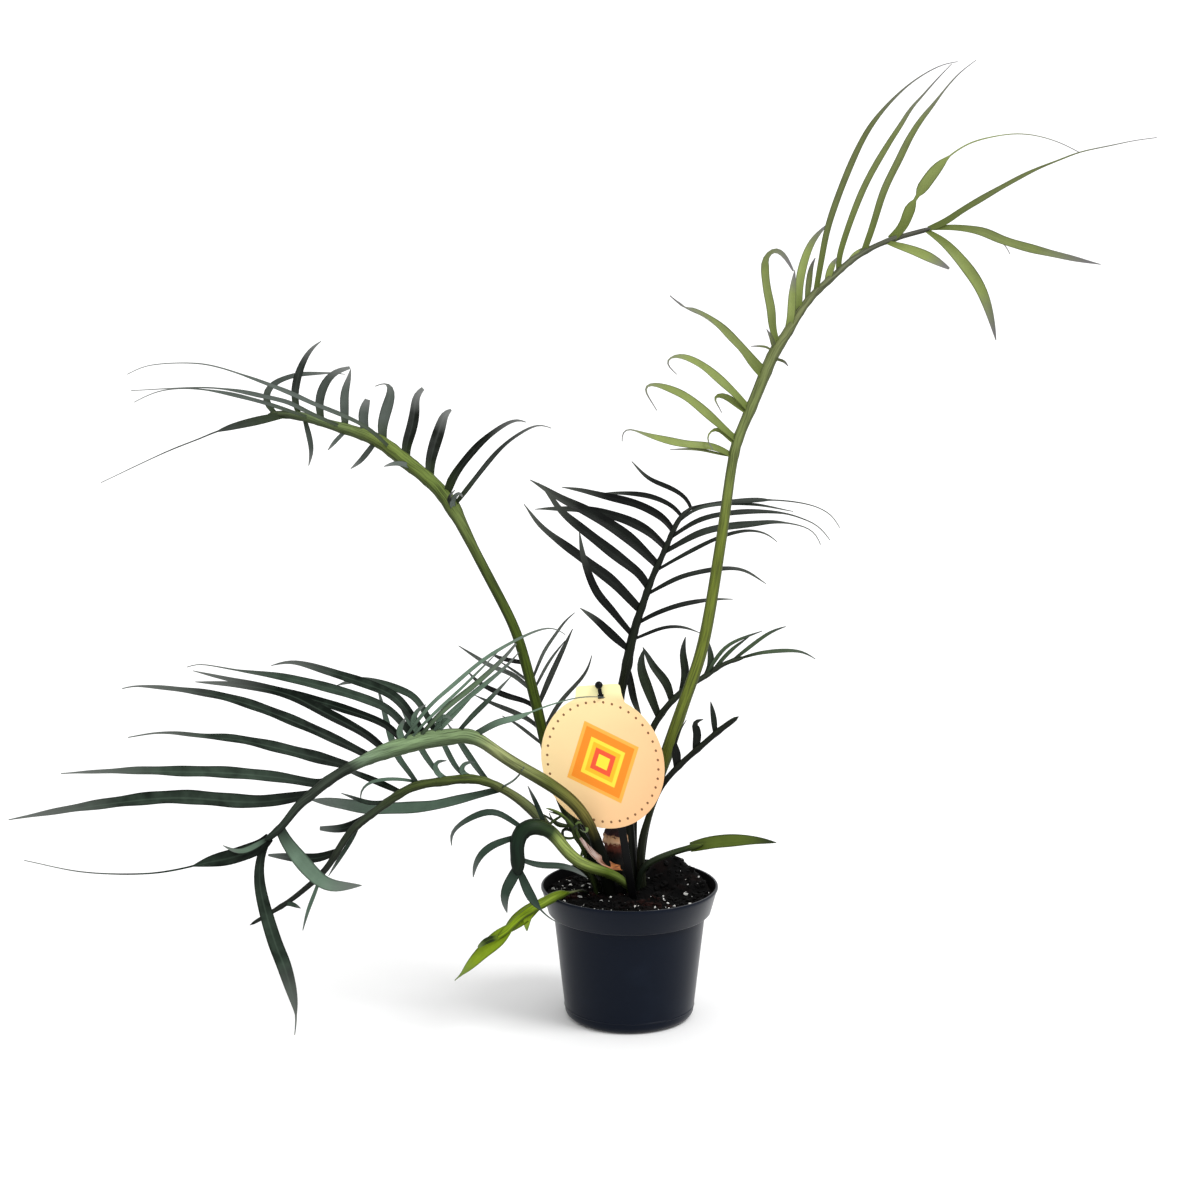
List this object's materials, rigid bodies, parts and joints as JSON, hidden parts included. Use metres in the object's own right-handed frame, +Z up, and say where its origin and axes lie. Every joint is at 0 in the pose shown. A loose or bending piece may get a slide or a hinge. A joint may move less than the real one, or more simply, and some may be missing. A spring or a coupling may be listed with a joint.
{
  "type": "potted philodendron tortum",
  "caption": "Potted philodendron tortum: feathered, twisting leaves on long stalks, rising from soil in a round tapered nursery pot with a plain oval tag on a stake.",
  "frame": {"origin": "centre of the pot's underside, on the surface that the pot stands on", "axes": "+Z up along the pot's axis, +X to the right and +Y away from the side that shows the tag's face"},
  "size_m": [0.7377, 0.3344, 0.6383],
  "materials": {
    "pot_plastic": "satin",
    "potting_mix": "matte",
    "stem_bark": "matte",
    "dry_sheath": "matte",
    "stake_plastic": "satin",
    "printed_card": "matte",
    "olive_leaf": "satin",
    "green_leaf": "satin",
    "dark_leaf": "satin",
    "deep_leaf": "satin",
    "lime_leaf": "satin"
  },
  "bodies": {
    "root": {"pot": "pot_plastic", "soil": "potting_mix", "stem": "stem_bark", "dry_sheath": "dry_sheath", "label_stake": "stake_plastic", "label_card": "printed_card", "leaf_tall": "olive_leaf", "leaf_upper_left": "green_leaf", "leaf_middle": "dark_leaf", "leaf_low_left": "deep_leaf", "leaf_behind_left": "dark_leaf", "leaf_arch": "deep_leaf", "leaf_hooked": "deep_leaf", "leaf_lime": "lime_leaf", "leaf_lance": "olive_leaf", "leaf_small_right": "dark_leaf", "leaf_right": "dark_leaf", "leaf_young": "green_leaf"}
  },
  "joints": []
}
